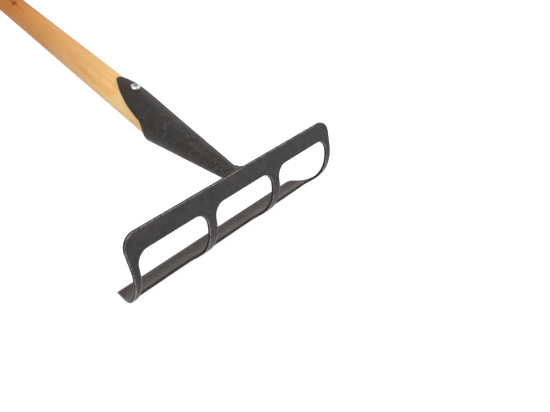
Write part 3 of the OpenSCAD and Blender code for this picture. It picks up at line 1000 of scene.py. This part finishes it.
    def close(self, piece, width, rows):
        """Walls of the seam, and the caps at the bar and at the bore's end."""
        p = self.p
        take(piece)
        bpy.ops.object.mode_set(mode="EDIT")
        bm = bmesh.from_edit_mesh(piece.data)
        bm.verts.ensure_lookup_table()
        for i in (0, width - 1):
            for j in range(p.neck_rows, p.neck_rows + p.cup_rows + 2):
                k = rows - 1 - (j - p.neck_rows)
                corners = [bm.verts[r * width + i] for r in (j, j + 1, k - 1, k)]
                if j + 1 < k - 1:
                    bm.faces.new(corners)
                elif j + 1 == k - 1:
                    bm.faces.new([corners[0], corners[1], corners[3]])
        bm.faces.new([bm.verts[i] for i in range(width - 1)])
        bm.faces.new([bm.verts[(rows - 1) * width + i] for i in range(width - 1)])
        bmesh.update_edit_mesh(piece.data)
        bpy.ops.mesh.select_all(action="SELECT")
        bpy.ops.mesh.remove_doubles(threshold=self.MERGE)
        bpy.ops.mesh.normals_make_consistent(inside=False)
        bpy.ops.object.mode_set(mode="OBJECT")


class HOERAKE_OT_neck_weld(Operator):
    """Remeshes the weld's fillet finely and lays ripples on it"""

    bl_idname = "hoerake.neck_weld"
    bl_label = "Neck weld"

    # The bead is rippled clear of the bar's top and its back
    CLEAR_TOP = 0.5 * MM
    CLEAR_BACK = 0.4 * MM
    # How the ripples lean and waver, in radians to a metre, and the grain that roughens them
    LEAN = 900
    WAVER = 3
    WAVER_GRAIN = 150
    GRAIN = 420

    def execute(self, context):
        p, socket = sizes("weld"), sizes("socket")
        piece = copy_of("neck_weld", "rippled_weld")
        remesh = piece.modifiers.new("fine", "REMESH")
        remesh.mode = "VOXEL"
        remesh.voxel_size = p.voxel
        remesh.use_smooth_shade = True
        take(piece)
        bpy.ops.object.modifier_apply(modifier=remesh.name)
        mesh = piece.data
        normals = [v.normal.copy() for v in mesh.vertices]
        for v, normal in zip(mesh.vertices, normals):
            q = to_bar(v.co)
            if q.z > -self.CLEAR_TOP or q.y < PLATE_T + self.CLEAR_BACK:
                continue
            rel = v.co - CONE.origin
            turn = math.atan2(rel.dot(ACROSS), rel.dot(CONE.up))
            waver = self.WAVER * noise.noise(v.co * self.WAVER_GRAIN)
            wave = math.sin(turn * p.ripples + waver + rel.dot(CONE.along) * self.LEAN)
            rough = noise.noise(v.co * self.GRAIN)
            v.co += normal * (p.ripple * (0.7 * wave + 0.8 * rough - 0.5))
        toe = mesh.attributes.new("toe", "FLOAT", "POINT")
        for v, mark in zip(mesh.vertices, toe.data):
            at, radius, _height = CONE.place(v.co)
            gap = radius - socket.mouth_radius - at * math.tan(socket.half_angle)
            mark.value = within(2 - gap / p.toe_width)
        finish_piece(piece, "neck_weld", weld_finish(p), smooth=60)
        return {"FINISHED"}


class HOERAKE_OT_lip_screw(Operator):
    """Copies the screw and rounds the edges of its head and recess"""

    bl_idname = "hoerake.lip_screw"
    bl_label = "Lip screw"

    # Below the head's top: where the recess ends, and above which nothing flat is its floor
    RECESS_END = 3 * MM
    FLOOR_FROM = 1.2 * MM

    def execute(self, context):
        p = sizes("screw")
        piece = copy_of("lip_screw", "zinc_screw")
        self.mark(piece.data, p)
        bpy.ops.object.mode_set(mode="EDIT")
        bpy.ops.mesh.select_all(action="SELECT")
        bpy.ops.mesh.dissolve_limited(angle_limit=math.radians(0.5), delimit={"MATERIAL"})
        if not choose_edges(piece, lambda e: is_sharp(e, SHARP)):
            raise RuntimeError("the screw has no edges to round")
        bpy.ops.mesh.bevel(offset=p.edge_round, segments=2, clamp_overlap=True)
        bpy.ops.object.mode_set(mode="OBJECT")
        finish_piece(piece, "lip_screw", screw_finish(p), smooth=35)
        return {"FINISHED"}

    def mark(self, mesh, p):
        """Marks the walls and floor of the cross recess, which the finish darkens with painted shade."""
        middle = sum((v.co for v in mesh.vertices), Vector()) / len(mesh.vertices)
        rel = middle - HANDLE.origin
        turn = math.atan2(rel.dot(ACROSS), rel.dot(HANDLE.up))
        out = math.sin(turn) * ACROSS + math.cos(turn) * HANDLE.up
        top = max((v.co - middle).dot(out) for v in mesh.vertices)
        recess = mesh.attributes.new("recess", "FLOAT", "FACE")
        for face, mark in zip(mesh.polygons, recess.data):
            rel = face.center - middle
            height = rel.dot(out)
            rise = face.normal.dot(out)
            beside = (rel - height * out).length
            inside = beside < p.recess_reach and height > top - self.RECESS_END
            floor = rise > 0.9 and height < top - self.FLOOR_FROM
            mark.value = 1.0 if inside and (abs(rise) < 0.5 or floor) else 0.0


class HOERAKE_OT_handle(Operator):
    """Copies the handle and softens the edges of its hanging hole"""

    bl_idname = "hoerake.handle"
    bl_label = "Handle"

    # The hanging hole lies in the last stretch of the handle
    HOLE_WITHIN = 40 * MM

    def execute(self, context):
        p = sizes("handle")
        piece = copy_of("handle", "ash_handle")
        bpy.ops.object.mode_set(mode="EDIT")
        hole_from = HANDLE.place(CAD_BOX[1])[0] - self.HOLE_WITHIN
        found = choose_edges(
            piece, lambda e: is_sharp(e, SHARP) and HANDLE.place(e.verts[0].co)[0] > hole_from)
        if not found:
            raise RuntimeError("the handle has no hole edges to round")
        bpy.ops.mesh.bevel(offset=p.hole_round, segments=3, clamp_overlap=True)
        bpy.ops.object.mode_set(mode="OBJECT")
        finish_piece(piece, "handle", handle_finish(p), smooth=30)
        return {"FINISHED"}


class HOERAKE_OT_stage(Operator):
    """Sets the pale floor, the soft lamps and the camera of the photograph"""

    bl_idname = "hoerake.stage"
    bl_label = "Stage"

    # The photograph's viewpoint, and how its right and its downward side run
    EYE = Vector((-340.62, -966.10, 462.56)) * MM
    RIGHT = Vector((0.63457, -0.72603, 0.26494))
    DOWN = Vector((-0.43123, -0.61710, -0.65819))
    AIM = Vector((0, -0.5, 0.05))
    # The lamps: their sides and their places, in metres
    KEY = ((1.8, 1.4), (-1.1, -0.8, 2.0))
    FILL = ((1.4, 1.4), (1.3, -0.2, 1.3))
    FILL_SHARE = 0.28
    FLOOR_SIZE = 30
    FLOOR_GAP = 0.05 * MM
    FLOOR_GLOW = 0.84

    def execute(self, context):
        p = sizes("stage")
        self.floor(p)
        self.lamp("key lamp", p.key, *self.KEY)
        self.lamp("fill lamp", p.key * self.FILL_SHARE, *self.FILL)
        self.world(p)
        self.camera(p)
        return {"FINISHED"}

    def camera(self, p):
        data = bpy.data.cameras.new("photo camera")
        data.sensor_width = 36
        data.lens = p.focal_length
        data.clip_start = 0.01
        data.clip_end = 60
        camera = bpy.data.objects.new("photo camera", data)
        right, down = self.RIGHT.normalized(), self.DOWN.normalized()
        back = -right.cross(down)
        camera.matrix_world = Matrix(
            [(right[i], -down[i], back[i], self.EYE[i]) for i in range(3)] + [(0, 0, 0, 1)])
        bpy.context.scene.collection.objects.link(camera)
        bpy.context.scene.camera = camera

    def lamp(self, name, power, size, place):
        data = bpy.data.lights.new(name, "AREA")
        data.shape = "RECTANGLE"
        data.size, data.size_y = size
        data.energy = power
        lamp = bpy.data.objects.new(name, data)
        lamp.location = place
        lamp.rotation_euler = (self.AIM - Vector(place)).to_track_quat("-Z", "Y").to_euler()
        bpy.context.scene.collection.objects.link(lamp)

    def floor(self, p):
        deselect()
        bpy.ops.mesh.primitive_plane_add(size=self.FLOOR_SIZE, location=(0, 0, -self.FLOOR_GAP))
        floor = bpy.context.object
        floor.name = "pale_floor"
        f = Finish("pale floor")
        matt = f.add("BsdfPrincipled", {
            "Base Color": (*p.floor_colour, 1), "Roughness": 0.9, "Specular IOR Level": 0.1})
        glow = f.add("Emission", {"Strength": f.scaled(f.seen(), 0, self.FLOOR_GLOW)})
        both = f.add("AddShader", {0: matt.outputs["BSDF"], 1: glow.outputs["Emission"]})
        f.add("OutputMaterial", {"Surface": both.outputs["Shader"]})
        floor.data.materials.append(f.material)

    def world(self, p):
        """Soft light from all round, behind a white backdrop."""
        world = bpy.data.worlds.new("soft sky")
        bpy.context.scene.world = world
        n = Nodes(world)
        white = (1, 1, 1, 1)
        sky = n.add("Background", {"Color": white, "Strength": p.sky}).outputs["Background"]
        sheet = n.add("Background", {"Color": white, "Strength": 1}).outputs["Background"]
        both = n.add("MixShader", {0: n.seen(), 1: sky, 2: sheet}).outputs["Shader"]
        n.add("OutputWorld", {"Surface": both})
        bpy.context.scene.view_settings.view_transform = "Standard"


class HOERAKE_PT_panel(Panel):
    bl_label = "Hoe Rake"
    bl_idname = "HOERAKE_PT_panel"
    bl_space_type = "VIEW_3D"
    bl_region_type = "UI"
    bl_category = "Hoe Rake"

    def draw(self, context):
        for part, operator in zip(PARTS, OPERATORS):
            box = self.layout.box()
            box.operator(operator.bl_idname)
            group = getattr(context.scene, "hoe_rake_" + part)
            for name in group.__annotations__:
                box.prop(group, name)


GROUPS = (
    HOERAKE_PG_plate, HOERAKE_PG_socket, HOERAKE_PG_weld,
    HOERAKE_PG_screw, HOERAKE_PG_handle, HOERAKE_PG_stage,
)
OPERATORS = (
    HOERAKE_OT_head_plate, HOERAKE_OT_socket, HOERAKE_OT_neck_weld,
    HOERAKE_OT_lip_screw, HOERAKE_OT_handle, HOERAKE_OT_stage,
)


def register():
    for cls in (*GROUPS, *OPERATORS, HOERAKE_PT_panel):
        bpy.utils.register_class(cls)
    for part, group in zip(PARTS, GROUPS):
        setattr(bpy.types.Scene, "hoe_rake_" + part, PointerProperty(type=group))


def unregister():
    for part in PARTS:
        delattr(bpy.types.Scene, "hoe_rake_" + part)
    for cls in reversed((*GROUPS, *OPERATORS, HOERAKE_PT_panel)):
        bpy.utils.unregister_class(cls)


def main():
    register()
    bpy.ops.hoerake.head_plate()
    bpy.ops.hoerake.socket()
    bpy.ops.hoerake.neck_weld()
    bpy.ops.hoerake.lip_screw()
    bpy.ops.hoerake.handle()
    bpy.ops.hoerake.stage()


if __name__ == "__main__":
    main()
